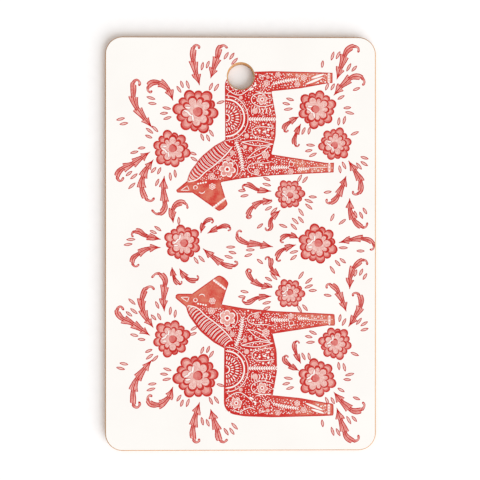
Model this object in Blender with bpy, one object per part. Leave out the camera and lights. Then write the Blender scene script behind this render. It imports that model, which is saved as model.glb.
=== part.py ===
"""A printed cutting board: seven-ply birch plywood with a laminate skin, printed on top, glued to its face.

The board lies flat. X runs across it, Y runs along it towards the hanging hole, and Z points up out of the
printed face. The origin is the middle of the back face, the one that rests on the worktop. Metres throughout.
"""

import math

import bmesh
import bpy

# The whole board, seen from above
BOARD_WIDTH = 0.292
BOARD_LENGTH = 0.446
CORNER_RADIUS = 0.019

# The hanging hole, through every layer
HOLE_DIAMETER = 0.0278
HOLE_FROM_TOP_EDGE = 0.0424  # from the hole's centre to the board's edge at +Y

# The layers
PLY_THICKNESS = 0.0010
SKIN_THICKNESS = 0.0004
GLUE_LINE = 0.0003  # left empty between any two layers

# The edges are broken with a 45 degree cutter after the layers are glued up
FACE_CHAMFER = 0.0012
BACK_CHAMFER = 0.0008

CORNER_STEPS = 12  # segments in each rounded corner
HOLE_STEPS = 64
SHARP_EDGE = math.radians(30)  # edges that bend more than this stay crisp

# The plies from the worktop up. The first has its grain along the board, the next across it, and so on.
PLY_NAMES = [
    "back_veneer",
    "back_crossband",
    "back_inner_ply",
    "centre_ply",
    "face_inner_ply",
    "face_crossband",
    "face_veneer",
]
SKIN_NAME = "printed_skin"

SKIN_BOTTOM = len(PLY_NAMES) * (PLY_THICKNESS + GLUE_LINE)
BOARD_THICKNESS = SKIN_BOTTOM + SKIN_THICKNESS
HOLE_CENTRE = (0.0, BOARD_LENGTH / 2 - HOLE_FROM_TOP_EDGE)


def clear_scene():
    """Remove whatever the file opened with."""
    for thing in list(bpy.data.objects):
        bpy.data.objects.remove(thing, do_unlink=True)


def finish(name, colour, roughness):
    """A plain coloured material for one kind of layer."""
    material = bpy.data.materials.new(name)
    material.use_nodes = True
    shader = material.node_tree.nodes["Principled BSDF"]
    shader.inputs["Base Color"].default_value = (*colour, 1.0)
    shader.inputs["Roughness"].default_value = roughness
    shader.inputs["Metallic"].default_value = 0.0
    material.diffuse_color = (*colour, 1.0)
    return material


def chamfer_inset(height):
    """How far the 45 degree chamfers cut in from the vertical edge at this height above the worktop."""
    from_face = FACE_CHAMFER - (BOARD_THICKNESS - height)
    from_back = BACK_CHAMFER - height
    return max(0.0, from_face, from_back)


def levels_between(bottom, top):
    """The heights where a layer's edge profile starts, bends and ends."""
    bends = [BACK_CHAMFER, BOARD_THICKNESS - FACE_CHAMFER]
    inside = [z for z in bends if bottom < z < top]
    return [bottom, *inside, top]


def rounded_outline(inset):
    """The board's outline, moved inwards by inset, as points running anticlockwise."""
    half_width = BOARD_WIDTH / 2
    half_length = BOARD_LENGTH / 2
    radius = CORNER_RADIUS - inset
    centres = [
        (half_width - CORNER_RADIUS, half_length - CORNER_RADIUS, 0.0),
        (-half_width + CORNER_RADIUS, half_length - CORNER_RADIUS, 0.5 * math.pi),
        (-half_width + CORNER_RADIUS, -half_length + CORNER_RADIUS, math.pi),
        (half_width - CORNER_RADIUS, -half_length + CORNER_RADIUS, 1.5 * math.pi),
    ]
    points = []
    for x, y, start in centres:
        for step in range(CORNER_STEPS + 1):
            angle = start + 0.5 * math.pi * step / CORNER_STEPS
            points.append((x + radius * math.cos(angle), y + radius * math.sin(angle)))
    return points


def hole_outline(inset):
    """The hanging hole's rim, opened out by inset where it is chamfered."""
    radius = HOLE_DIAMETER / 2 + inset
    x, y = HOLE_CENTRE
    turn = 2 * math.pi / HOLE_STEPS
    return [
        (x + radius * math.cos(turn * step), y + radius * math.sin(turn * step))
        for step in range(HOLE_STEPS)
    ]


def add_loop(bm, points, z):
    """A closed ring of vertices and edges at one height. Returns both."""
    verts = [bm.verts.new((x, y, z)) for x, y in points]
    edges = [bm.edges.new((a, b)) for a, b in zip(verts, verts[1:] + verts[:1])]
    return verts, edges


def join_rings(bm, lower, upper):
    """A strip of four-sided faces from one ring up to the next."""
    count = len(lower)
    for i in range(count):
        j = (i + 1) % count
        bm.faces.new((lower[i], lower[j], upper[j], upper[i]))


def add_layer(name, bottom, thickness, material):
    """One flat layer with rounded corners, the hanging hole and its share of the chamfers."""
    bm = bmesh.new()
    top = bottom + thickness
    rings = []
    for z in levels_between(bottom, top):
        inset = chamfer_inset(z)
        rings.append((add_loop(bm, rounded_outline(inset), z), add_loop(bm, hole_outline(inset), z)))
    for (outer_low, hole_low), (outer_high, hole_high) in zip(rings, rings[1:]):
        join_rings(bm, outer_low[0], outer_high[0])
        join_rings(bm, hole_low[0], hole_high[0])
    for outer, hole in (rings[0], rings[-1]):
        bmesh.ops.triangle_fill(bm, use_beauty=True, edges=outer[1] + hole[1])
    bmesh.ops.recalc_face_normals(bm, faces=bm.faces)
    # The vertices are built at board height, then lowered so that the object's own origin is its underside.
    bmesh.ops.translate(bm, verts=bm.verts, vec=(0.0, 0.0, -bottom))
    mesh = bpy.data.meshes.new(name)
    bm.to_mesh(mesh)
    bm.free()
    mesh.materials.append(material)
    mesh.shade_smooth()
    mesh.set_sharp_from_angle(angle=SHARP_EDGE)
    layer = bpy.data.objects.new(name, mesh)
    layer.location = (0.0, 0.0, bottom)
    bpy.context.scene.collection.objects.link(layer)
    return layer


def build_plywood(base):
    """The veneers, stacked with a glue line between them and their grain crossed."""
    along = finish("birch_along", (0.78, 0.60, 0.40), 0.55)
    across = finish("birch_across", (0.62, 0.43, 0.26), 0.65)
    for number, name in enumerate(PLY_NAMES):
        grain = along if number % 2 == 0 else across
        add_layer(name, number * (PLY_THICKNESS + GLUE_LINE), PLY_THICKNESS, grain).parent = base


def build_skin(base):
    """The white gloss laminate that carries the print."""
    white = finish("white_gloss", (0.95, 0.92, 0.88), 0.2)
    add_layer(SKIN_NAME, SKIN_BOTTOM, SKIN_THICKNESS, white).parent = base


def main():
    clear_scene()
    base = bpy.data.objects.new("cutting_board", None)
    bpy.context.scene.collection.objects.link(base)
    build_plywood(base)
    build_skin(base)


main()
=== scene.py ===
# %% [markdown]
# # A printed cutting board
#
# The board is a sheet of seven-ply birch plywood. A laminate skin is glued to its face, white with a satin
# sheen, and printed in reds with two folk horses in a garden of flowers and leaves. It hangs by a round hole.
#
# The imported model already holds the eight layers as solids: seven plies and the skin. Their shape is right,
# so they stay, and this lesson gives them wood, glue and a sheen. The print isn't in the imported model. It
# is made here, as films of ink that lie on the skin, each about a hundredth of a millimetre above the last.
# Most of them come from Geometry Nodes, because a print like this is a handful of marks that repeat.

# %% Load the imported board
import math
import random

import bmesh
import bpy
from mathutils import Matrix, Vector


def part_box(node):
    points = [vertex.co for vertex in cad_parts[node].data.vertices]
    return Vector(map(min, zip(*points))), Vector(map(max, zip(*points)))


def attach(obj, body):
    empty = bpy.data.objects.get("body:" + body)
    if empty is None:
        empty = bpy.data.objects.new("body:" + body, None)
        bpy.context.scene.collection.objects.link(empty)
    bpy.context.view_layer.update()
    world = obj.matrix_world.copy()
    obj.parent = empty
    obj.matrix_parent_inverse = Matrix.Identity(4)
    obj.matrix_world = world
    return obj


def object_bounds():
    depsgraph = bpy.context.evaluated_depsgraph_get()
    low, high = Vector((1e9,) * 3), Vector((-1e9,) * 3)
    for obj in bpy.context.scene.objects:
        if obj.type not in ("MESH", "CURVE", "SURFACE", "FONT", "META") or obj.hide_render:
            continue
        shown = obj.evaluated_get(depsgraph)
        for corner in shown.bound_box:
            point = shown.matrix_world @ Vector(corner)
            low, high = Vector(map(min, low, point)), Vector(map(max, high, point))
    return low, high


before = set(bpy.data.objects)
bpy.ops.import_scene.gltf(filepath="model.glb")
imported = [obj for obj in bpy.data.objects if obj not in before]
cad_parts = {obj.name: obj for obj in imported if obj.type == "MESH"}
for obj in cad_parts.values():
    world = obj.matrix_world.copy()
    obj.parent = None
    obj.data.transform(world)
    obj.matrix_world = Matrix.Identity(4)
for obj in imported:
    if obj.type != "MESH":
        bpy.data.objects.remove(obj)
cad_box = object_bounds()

MM = 0.001
FACE_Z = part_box("printed_skin")[1].z
HALF_WIDTH, HALF_LENGTH = cad_box[1].x, cad_box[1].y
print(f"board {2 * HALF_WIDTH:.3f} x {2 * HALF_LENGTH:.3f} m, printed face at z = {FACE_Z:.4f} m")

# %% [markdown]
# ## Writing node trees as sums
#
# A material or a Geometry Nodes tree can be wired by hand in the editor, which is quick to try and slow to
# read back. Here each output socket is wrapped in a small class that knows the signs of arithmetic, so that
# a line such as `size * (1 - depth)` adds the Math nodes it needs. Every other node comes from one method,
# add().


# %% A wire is an output socket that can be used in arithmetic
class Wire:
    def __init__(self, nodes, socket):
        self.nodes, self.socket = nodes, socket

    def math(self, operation, *others):
        return self.nodes.math(operation, self, *others)

    def __add__(self, other):
        return self.math("ADD", other)

    def __sub__(self, other):
        return self.math("SUBTRACT", other)

    def __rsub__(self, other):
        return self.nodes.math("SUBTRACT", other, self)

    def __mul__(self, other):
        return self.math("MULTIPLY", other)

    def __truediv__(self, other):
        return self.math("DIVIDE", other)

    def __pow__(self, other):
        return self.math("POWER", other)

    def __abs__(self):
        return self.math("ABSOLUTE")

    def __lt__(self, other):
        return self.math("LESS_THAN", other)

    def __gt__(self, other):
        return self.math("GREATER_THAN", other)

    def __getitem__(self, name):
        """Another output of the same node."""
        return Wire(self.nodes, self.socket.node.outputs[name])

    __radd__ = __add__
    __rmul__ = __mul__


# %% A tree under construction
class Nodes:
    def __init__(self, tree):
        self.tree = tree

    def add(self, kind, settings=None, sockets=None):
        """Any node: settings first, then the values or wires of its sockets. Gives its first live output."""
        node = self.tree.nodes.new(kind)
        for name, value in (settings or {}).items():
            if name == "stops":
                self.set_stops(node.color_ramp.elements, value)
            else:
                setattr(node, name, value)
        for key, value in (sockets or {}).items():
            self.plug(node, key, value)
        live = [output for output in node.outputs if output.enabled]
        return Wire(self, live[0]) if live else node

    def plug(self, node, key, value):
        """One socket, found by its name or by its place among the sockets in use."""
        live = [socket for socket in node.inputs if socket.enabled]
        socket = live[key] if isinstance(key, int) else next(s for s in live if s.name == key)
        for item in value if isinstance(value, list) else [value]:
            if isinstance(item, Wire):
                self.tree.links.new(item.socket, socket)
            else:
                socket.default_value = item

    @staticmethod
    def set_stops(elements, stops):
        while len(elements) < len(stops):
            elements.new(1.0)
        for element, (place, colour) in zip(elements, stops):
            element.position, element.color = place, (*colour, 1.0)

    def math(self, operation, *values):
        return self.add("ShaderNodeMath", {"operation": operation}, dict(enumerate(values)))

    def combine(self, x, y, z):
        return self.add("ShaderNodeCombineXYZ", None, {0: x, 1: y, 2: z})

    def vector(self, operation, *values):
        return self.add("ShaderNodeVectorMath", {"operation": operation}, dict(enumerate(values)))


# %% [markdown]
# ## The floor, the light and the camera
#
# The board lies on white paper and is seen from straight above, with one large soft light low at the front
# right and white walls all round. The sun lamp here is given a wide disc, which makes the long soft shadow
# behind the back and left edges, and the world stands for the walls. The lens sees the board's face from
# 80 cm, close enough for the far wall of the hanging hole to show.

# %% The floor
FLOOR_SIZE = 12.0


def srgb(red, green, blue):
    """A colour as a paint chart gives it, 0 to 255, turned into the linear values that Blender mixes."""
    def linear(value):
        value /= 255
        return value / 12.92 if value < 0.04045 else ((value + 0.055) / 1.055) ** 2.4
    return (linear(red), linear(green), linear(blue))


def new_material(name, roughness=0.5, **constants):
    """A Principled material. Values that are the same all over are set on the shader's own sockets."""
    material = bpy.data.materials.new(name)
    material.use_nodes = True
    nodes = Nodes(material.node_tree)
    shader = material.node_tree.nodes["Principled BSDF"]
    shader.inputs["Roughness"].default_value = roughness
    for socket, value in constants.items():
        shader.inputs[socket.replace("_", " ")].default_value = value
    return material, nodes, shader


def noise(nodes, spot, scale, detail, **more):
    """Random hills. scale is how many stand in a metre, detail how many times finer ones are added."""
    sockets = {"Vector": spot, "Scale": scale, "Detail": detail, **more}
    return nodes.add("ShaderNodeTexNoise", None, sockets)


def shades(nodes, factor, *stops):
    """A colour that runs through the stops as the factor rises."""
    return nodes.add("ShaderNodeValToRGB", {"stops": stops}, {"Fac": factor})


def make_floor():
    material, nodes, shader = new_material("paper_floor", roughness=0.9, Specular_IOR_Level=0.2)
    spot = nodes.add("ShaderNodeTexCoord")["Object"]
    fibre = noise(nodes, spot, 90.0, 3.0)
    shade = shades(nodes, fibre, (0.3, (0.90, 0.905, 0.915)), (0.7, (0.92, 0.925, 0.935)))
    nodes.plug(shader, "Base Color", shade)
    mesh = bpy.data.meshes.new("floor")
    half = FLOOR_SIZE / 2
    corners = [(-half, -half, 0), (half, -half, 0), (half, half, 0), (-half, half, 0)]
    mesh.from_pydata(corners, [], [(0, 1, 2, 3)])
    mesh.materials.append(material)
    floor = bpy.data.objects.new("floor", mesh)
    bpy.context.collection.objects.link(floor)


make_floor()
print("floor", FLOOR_SIZE, "m square")

# %% The light
LIGHT_AZIMUTH = math.radians(-50)  # from +X towards -Y
LIGHT_ELEVATION = math.radians(27.5)
LIGHT_SPREAD = math.radians(64)
LIGHT_STRENGTH = 3.62
LIGHT_COLOUR = (0.95, 1.0, 1.06)  # cooler than the walls, which reflect a warm room
WALL_STRENGTH = 0.68
WALL_COLOUR = (1.0, 0.93, 0.86)


def make_light():
    lamp = bpy.data.lights.new("soft_box", "SUN")
    lamp.energy, lamp.angle = LIGHT_STRENGTH, LIGHT_SPREAD
    lamp.color = LIGHT_COLOUR
    source = bpy.data.objects.new("soft_box", lamp)
    level = math.cos(LIGHT_ELEVATION)
    towards_light = Vector((
        level * math.cos(LIGHT_AZIMUTH), level * math.sin(LIGHT_AZIMUTH), math.sin(LIGHT_ELEVATION)
    ))
    source.rotation_mode = "QUATERNION"
    source.rotation_quaternion = towards_light.to_track_quat("Z", "Y")
    bpy.context.collection.objects.link(source)
    world = bpy.data.worlds.new("white_walls")
    world.use_nodes = True
    backdrop = world.node_tree.nodes["Background"]
    backdrop.inputs["Color"].default_value = (*WALL_COLOUR, 1.0)
    backdrop.inputs["Strength"].default_value = WALL_STRENGTH
    bpy.context.scene.world = world
    bpy.context.scene.view_settings.view_transform = "Standard"


make_light()
print("light", round(math.degrees(LIGHT_ELEVATION)), "degrees above the floor")

# %% The camera
CAMERA_HEIGHT = 0.80  # above the printed face
CAMERA_SIDESTEP = -0.009  # a little to the left of the point it looks at
FRAME_WIDTH = 0.5168  # what the frame spans at the face
AIM = Vector((-0.0008, 0.0040, FACE_Z))


def make_camera():
    data = bpy.data.cameras.new("camera")
    data.sensor_width = 36.0
    data.lens = data.sensor_width * CAMERA_HEIGHT / FRAME_WIDTH
    camera = bpy.data.objects.new("camera", data)
    camera.location = AIM + Vector((CAMERA_SIDESTEP, 0.0, CAMERA_HEIGHT))
    camera.rotation_mode = "QUATERNION"
    lean = math.atan2(CAMERA_SIDESTEP, CAMERA_HEIGHT)
    camera.rotation_quaternion = Matrix.Rotation(lean, 3, "Y").to_quaternion()
    bpy.context.collection.objects.link(camera)
    bpy.context.scene.camera = camera
    return camera


camera = make_camera()
print("camera lens", round(camera.data.lens, 1), "mm")

# %% [markdown]
# ## Wood and glue
#
# Birch veneer is peeled from the log in one long sheet, so its face shows wide, wandering figure and its
# edge shows fine straight grain. Where a ply is cut across its fibres the open ends drink the lacquer and
# go darker. An image of wood would need placing on every edge. A solid texture doesn't: the grain is a
# noise stretched along the fibres, all through the ply, and each cut shows its own slice of it.

# %% Birch
FIBRE_STRETCH = 14.0


def birch(name, fibre_axis, pale, deep):
    """Birch with its fibres along axis 0 (X) or 1 (Y) of the board."""
    material, nodes, shader = new_material(name, Coat_Roughness=0.35, Coat_Weight=0.25)
    spot = nodes.add("ShaderNodeTexCoord")["Object"]
    squeeze = [1.0, 1.0, 1.0]
    squeeze[fibre_axis] = 1.0 / FIBRE_STRETCH
    grain_space = nodes.add("ShaderNodeMapping", None, {"Vector": spot, "Scale": tuple(squeeze)})
    figure = noise(nodes, grain_space, 60.0, 3.0, Distortion=0.8)
    fibres = noise(nodes, grain_space, 1400.0, 4.0, Roughness=0.7)
    blotches = noise(nodes, spot, 35.0, 2.0)
    facing = nodes.add("ShaderNodeNewGeometry")["Normal"]
    cut = nodes.add("ShaderNodeSeparateXYZ", None, {0: facing})
    end_grain = abs(cut["XY"[fibre_axis]])
    tone = figure * 0.45 + fibres * 0.45 + blotches * 0.2
    wood = shades(nodes, tone, (0.36, deep), (0.55, pale))
    soaked = nodes.add(
        "ShaderNodeMix",
        {"data_type": "RGBA", "blend_type": "MULTIPLY"},
        {"Factor": end_grain * 0.75, "A": wood, "B": (*srgb(214, 172, 122), 1.0)},
    )
    nodes.plug(shader, "Base Color", soaked)
    nodes.plug(shader, "Roughness", 0.42 + fibres * 0.25)
    bump = nodes.add("ShaderNodeBump", None, {"Height": fibres, "Strength": 0.35, "Distance": 0.05 * MM})
    nodes.plug(shader, "Normal", bump)
    return material


PLIES = [
    "back_veneer", "back_crossband", "back_inner_ply", "centre_ply",
    "face_inner_ply", "face_crossband", "face_veneer",
]
birch_along = birch("birch_along", 1, srgb(206, 156, 94), srgb(172, 116, 62))
birch_across = birch("birch_across", 0, srgb(192, 138, 80), srgb(154, 100, 50))
for number, ply in enumerate(PLIES):
    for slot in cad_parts[ply].material_slots:
        slot.material = birch_along if number % 2 == 0 else birch_across
print(len(PLIES), "plies in birch")

# %% [markdown]
# ## The laminate skin
#
# A laminate is kraft paper soaked in resin, with a white printed sheet and a clear wear layer pressed onto
# it. Seen from above it is a hard, slightly rippled white satin with hair-fine scratches. Where the edge is
# chamfered, the brown paper core shows. The two are told apart by height: the white sheet is only the top
# tenth of a millimetre.
#
# The ripple and the scratches belong to the wear layer, which lies over the print as well. So they are one
# function, which the inks use too, and a reflection runs across paper and print without a break.

# %% The wear layer, shared by the white sheet and the inks
SATIN_ROUGHNESS = 0.40
SATIN = {"Specular_IOR_Level": 0.1, "Coat_Weight": 0.03, "Coat_Roughness": 0.2}
WHITE_SHEET = 0.1 * MM


def wear_layer(nodes, shader, spot):
    """Ripple and fine scratches in the sheen, and a roughness that wanders a little."""
    ripple = noise(nodes, spot, 130.0, 2.0)
    slanted = nodes.add(
        "ShaderNodeMapping", None,
        {"Vector": spot, "Rotation": (0.0, 0.0, math.radians(24)), "Scale": (9.0, 420.0, 1.0)},
    )
    streaks = noise(nodes, slanted, 1.0, 3.0)
    scratch = (streaks > 0.69) * 0.35
    height = ripple + scratch * 0.4
    bump = nodes.add("ShaderNodeBump", None, {"Height": height, "Strength": 0.12, "Distance": 0.1 * MM})
    nodes.plug(shader, "Normal", bump)
    nodes.plug(shader, "Roughness", SATIN_ROUGHNESS + ripple * 0.06 + scratch * 0.25)


def make_laminate():
    material, nodes, shader = new_material("laminate", **SATIN)
    spot = nodes.add("ShaderNodeTexCoord")["Object"]
    height = nodes.add("ShaderNodeSeparateXYZ", None, {0: spot})["Z"]
    mottle = noise(nodes, spot, 14.0, 3.0)
    sheet = shades(nodes, mottle, (0.35, srgb(235, 233, 230)), (0.65, srgb(237, 236, 233)))
    speckle = noise(nodes, spot, 1500.0, 2.0)
    core = shades(nodes, speckle, (0.3, srgb(140, 92, 48)), (0.7, srgb(172, 120, 70)))
    is_sheet = height > FACE_Z - WHITE_SHEET
    colour = nodes.add("ShaderNodeMix", {"data_type": "RGBA"}, {"Factor": is_sheet, "A": core, "B": sheet})
    nodes.plug(shader, "Base Color", colour)
    wear_layer(nodes, shader, spot)
    return material


laminate = make_laminate()
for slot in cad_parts["printed_skin"].material_slots:
    slot.material = laminate
print("laminate on the skin")


# %% [markdown]
# ## Inks
#
# The print is one red, laid down as if by hand: solid for outlines, thinned with water for petals and
# leaves. Thin ink dries unevenly, so each ink is two shades of itself, mixed by a cloudy noise as wide as a
# brush stroke and a finer one like the tooth of paper.

# %% One function for every ink
def ink(name, thick, thin, cloud=110.0):
    """Ink that wanders between two shades. cloud is the number of patches in a metre."""
    material, nodes, shader = new_material(name, **SATIN)
    spot = nodes.add("ShaderNodeTexCoord")["Object"]
    drying = noise(nodes, spot, cloud, 2.0) * 0.7 + noise(nodes, spot, 1700.0, 1.0) * 0.3
    nodes.plug(shader, "Base Color", shades(nodes, drying, (0.38, thick), (0.62, thin)))
    wear_layer(nodes, shader, spot)
    return material


outline_red = ink("outline_red", srgb(182, 38, 34), srgb(192, 54, 48))
deep_red = ink("deep_red", srgb(174, 14, 12), srgb(184, 28, 25))
petal_pink = ink("petal_pink", srgb(200, 96, 93), srgb(212, 128, 122), cloud=260.0)
petal_light = ink("petal_light", srgb(212, 132, 126), srgb(224, 172, 163), cloud=260.0)
pale_pink = ink("pale_pink", srgb(216, 160, 154), srgb(230, 196, 189), cloud=320.0)
leaf_red = ink("leaf_red", srgb(212, 121, 115), srgb(227, 170, 163), cloud=240.0)
bare_white = ink("bare_white", srgb(236, 230, 226), srgb(238, 235, 231))
print("inks mixed")

# %% [markdown]
# ## Printing: from a flat shape to a film of ink
#
# A mark starts as a flat face or strip. It could stay flat and float just above the skin, but an open sheet
# has no inside, and a printer or a physics engine needs one. So film() closes it: it turns the face to look
# up, extrudes it, adds its own turned-over copy as the underside, and welds the seam. Each kind of mark is
# pressed to its own height, about a hundredth of a millimetre above the last, so that a later ink always
# covers an earlier one.

# %% Short names for the nodes that the trees share
def stored(nodes, label, kind="FLOAT"):
    """The number that spots() or a tree stored under this label."""
    return nodes.add("GeometryNodeInputNamedAttribute", {"data_type": kind}, {"Name": label})


def store(nodes, geometry, label, value, kind="FLOAT"):
    """Writes a value on every point, for stored() to read further on."""
    return nodes.add(
        "GeometryNodeStoreNamedAttribute", {"data_type": kind, "domain": "POINT"},
        {"Geometry": geometry, "Name": label, "Value": value},
    )


def filled(nodes, outline):
    return nodes.add("GeometryNodeFillCurve", None, {"Curve": outline})


def moved(nodes, geometry, **how):
    return nodes.add("GeometryNodeTransform", None, {"Geometry": geometry, **how})


def reshaped(nodes, geometry, places):
    """The same geometry with every point at a new place."""
    return nodes.add("GeometryNodeSetPosition", None, {"Geometry": geometry, "Position": places})


def turned(nodes, angle):
    """A rotation about Z."""
    return nodes.add("FunctionNodeAxisAngleToRotation", None, {"Axis": (0.0, 0.0, 1.0), "Angle": angle})


def stamped(nodes, points, mark, scale, turn=0.0):
    """A mark on every point, scaled and turned, as plain geometry."""
    sockets = {"Points": points, "Instance": mark, "Scale": scale, "Rotation": turned(nodes, turn)}
    marks = nodes.add("GeometryNodeInstanceOnPoints", None, sockets)
    return nodes.add("GeometryNodeRealizeInstances", None, {"Geometry": marks})


# %% Closing a flat shape into a film
INK_ROOT = FACE_Z - 0.05 * MM  # the underside, sunk into the skin
INK_STEP = 0.012 * MM
WELD = 0.0005 * MM


def thicken(nodes, flat, thickness):
    """A closed sheet from a flat shape: the shape is its underside."""
    low = nodes.add("GeometryNodeMergeByDistance", None, {"Geometry": flat, "Distance": WELD})
    looks = nodes.add("ShaderNodeSeparateXYZ", None, {0: nodes.add("GeometryNodeInputNormal")})
    low = nodes.add("GeometryNodeFlipFaces", None, {"Mesh": low, "Selection": looks["Z"] < 0.0})
    raised = nodes.add(
        "GeometryNodeExtrudeMesh", None, {"Mesh": low, "Offset Scale": thickness, "Individual": False}
    )
    under = nodes.add("GeometryNodeFlipFaces", None, {"Mesh": low})
    both = nodes.add("GeometryNodeJoinGeometry", None, {"Geometry": [raised, under]})
    return nodes.add("GeometryNodeMergeByDistance", None, {"Geometry": both, "Distance": WELD})


def finished(nodes, geometry, material_wire):
    """The last nodes of every tree: plain geometry with crisp edges and one material."""
    crisp = nodes.add("GeometryNodeSetShadeSmooth", None, {"Geometry": geometry, "Shade Smooth": False})
    plain = nodes.add("GeometryNodeRealizeInstances", None, {"Geometry": crisp})
    return nodes.add("GeometryNodeSetMaterial", None, {"Geometry": plain, "Material": material_wire})


def film(nodes, flat, level, ink_wire):
    """A closed film of ink from a flat shape."""
    place = nodes.add("ShaderNodeSeparateXYZ", None, {0: nodes.add("GeometryNodeInputPosition")})
    sunk = nodes.combine(place["X"], place["Y"], INK_ROOT)
    low = reshaped(nodes, flat, sunk)
    height = (level + stored(nodes, "lift")) * INK_STEP + (FACE_Z - INK_ROOT)
    return finished(nodes, thicken(nodes, low, height), ink_wire)


# %% A new tree with named inputs, and the press that runs it
SOCKET_KINDS = {
    int: "NodeSocketInt", float: "NodeSocketFloat",
    tuple: "NodeSocketVector", bpy.types.Material: "NodeSocketMaterial",
    bpy.types.Collection: "NodeSocketCollection",
}


def new_tree(name, **inputs):
    """A Geometry Nodes tree. Gives the tree, its Nodes, and its inputs as wires by name."""
    tree = bpy.data.node_groups.new(name, "GeometryNodeTree")
    tree.interface.new_socket("Marks", in_out="INPUT", socket_type="NodeSocketGeometry")
    for label, kind in inputs.items():
        tree.interface.new_socket(label, in_out="INPUT", socket_type=SOCKET_KINDS[kind])
    tree.interface.new_socket("Print", in_out="OUTPUT", socket_type="NodeSocketGeometry")
    nodes = Nodes(tree)
    entry = nodes.add("NodeGroupInput")
    wires = {label: entry[label] for label in ["Marks", *inputs]}
    return tree, nodes, wires


INKED = {"Level": float, "Ink": bpy.types.Material}  # the inputs of every tree that prints


def close_tree(nodes, geometry):
    nodes.add("NodeGroupOutput", None, {"Print": geometry})


def close_print(nodes, flat, given):
    """Ends a tree with a film, at the level and in the ink that it is given."""
    close_tree(nodes, film(nodes, flat, given["Level"], given["Ink"]))


pieces = {}


def press(name, marks, tree, **values):
    """Runs a tree on a copy of some marks and keeps the result as a plain mesh, a piece of the board."""
    plate = bpy.data.objects.new(name + "_plate", marks)
    bpy.context.collection.objects.link(plate)
    modifier = plate.modifiers.new("print", "NODES")
    modifier.node_group = tree
    for item in tree.interface.items_tree:
        if item.in_out == "INPUT" and item.name in values:
            modifier[item.identifier] = values[item.name]
    bpy.context.view_layer.update()
    evaluated = plate.evaluated_get(bpy.context.evaluated_depsgraph_get())
    mesh = bpy.data.meshes.new_from_object(evaluated)
    bpy.data.objects.remove(plate)
    for extra in [a.name for a in mesh.attributes if not (a.is_internal or a.is_required)]:
        if extra not in ("sharp_face", "material_index", "UVMap"):
            mesh.attributes.remove(mesh.attributes[extra])
    keep(name, mesh)


def keep(name, mesh):
    """A finished mesh as a piece that goes with the board."""
    mesh.name = name
    piece = bpy.data.objects.new(name, mesh)
    bpy.context.collection.objects.link(piece)
    pieces[name] = piece
    print(f"{name}: {len(mesh.polygons)} faces")


# %% Marks for the trees to work on: spots and paths
def spots(name, rows, **columns):
    """A mesh of loose points. Each column is a number stored on every point."""
    mesh = bpy.data.meshes.new(name)
    mesh.from_pydata([(x * MM, y * MM, 0.0) for x, y in rows], [], [])
    for label, numbers in columns.items():
        mesh.attributes.new(label, "FLOAT", "POINT").data.foreach_set("value", numbers)
    return mesh


def paths(name, routes, smooth=True):
    """A curve with one spline for each route, a list of (x, y, size) in millimetres. Smooth ones flow through
    their points. A route that comes back to its first point is closed."""
    curve = bpy.data.curves.new(name, "CURVE")
    curve.dimensions = "3D"
    for route in routes:
        closed = route[0] == route[-1]
        route = route[:-1] if closed else route
        spline = curve.splines.new("BEZIER" if smooth else "POLY")
        points = spline.bezier_points if smooth else spline.points
        points.add(len(route) - 1)
        for point, (x, y, size) in zip(points, route):
            point.co = (x * MM, y * MM, 0.0) if smooth else (x * MM, y * MM, 0.0, 1.0)
            point.radius = size * MM
            if smooth:
                point.handle_left_type = point.handle_right_type = "AUTO"
        spline.use_cyclic_u = closed
        spline.resolution_u = 16
    return curve


def mirrored(routes):
    """The same routes in the other half of the board."""
    return [[(x, -y, size) for x, y, size in route] for route in routes]


# %% [markdown]
# ## Glue between the layers
#
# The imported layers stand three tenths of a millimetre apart. On the real board that gap is full of glue,
# which shows on the cut edge as a fine dark line under each ply. Each sheet is the board's own outline a
# hair smaller, with the hole in it. The uppermost one lies behind the chamfer, so it is smaller still.

# %% The glue
CORNER_RADIUS = 19.0 * MM
HOLE_CENTRE = (0.0, 180.6 * MM)
HOLE_RADIUS = 13.9 * MM
FACE_CHAMFER = 1.2 * MM
PLY_PITCH = 1.3 * MM
GLUE_LINE = 0.3 * MM
GLUE_INSET = 0.03 * MM  # how far the glue stays behind the edge of the plies


def make_glue_material():
    material, nodes, shader = new_material("dark_glue", roughness=0.45)
    spot = nodes.add("ShaderNodeTexCoord")["Object"]
    beads = noise(nodes, spot, 260.0, 3.0)
    shade = shades(nodes, beads, (0.35, srgb(96, 56, 28)), (0.65, srgb(142, 92, 52)))
    nodes.plug(shader, "Base Color", shade)
    return material


def glue_tree():
    tree, nodes, given = new_tree("glue_sheets", Inset=float, Ink=bpy.types.Material)
    inset = given["Inset"]
    outline = nodes.add(
        "GeometryNodeCurvePrimitiveQuadrilateral", None,
        {"Width": 2 * HALF_WIDTH - 2.0 * inset, "Height": 2 * HALF_LENGTH - 2.0 * inset},
    )
    outline = nodes.add(
        "GeometryNodeFilletCurve", {"mode": "POLY"},
        {"Curve": outline, "Count": 12, "Radius": CORNER_RADIUS - inset},
    )
    hole = nodes.add(
        "GeometryNodeCurvePrimitiveCircle", None, {"Resolution": 64, "Radius": HOLE_RADIUS + inset}
    )
    hole = moved(nodes, hole, Translation=(*HOLE_CENTRE, 0.0))
    both = nodes.add("GeometryNodeJoinGeometry", None, {"Geometry": [outline, hole]})
    sheet = thicken(nodes, filled(nodes, both), GLUE_LINE)
    stacked = nodes.add("GeometryNodeInstanceOnPoints", None, {"Points": given["Marks"], "Instance": sheet})
    close_tree(nodes, finished(nodes, stacked, given["Ink"]))
    return tree


def heights(name, levels):
    mesh = bpy.data.meshes.new(name)
    mesh.from_pydata([(0.0, 0.0, level) for level in levels], [], [])
    return mesh


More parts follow.
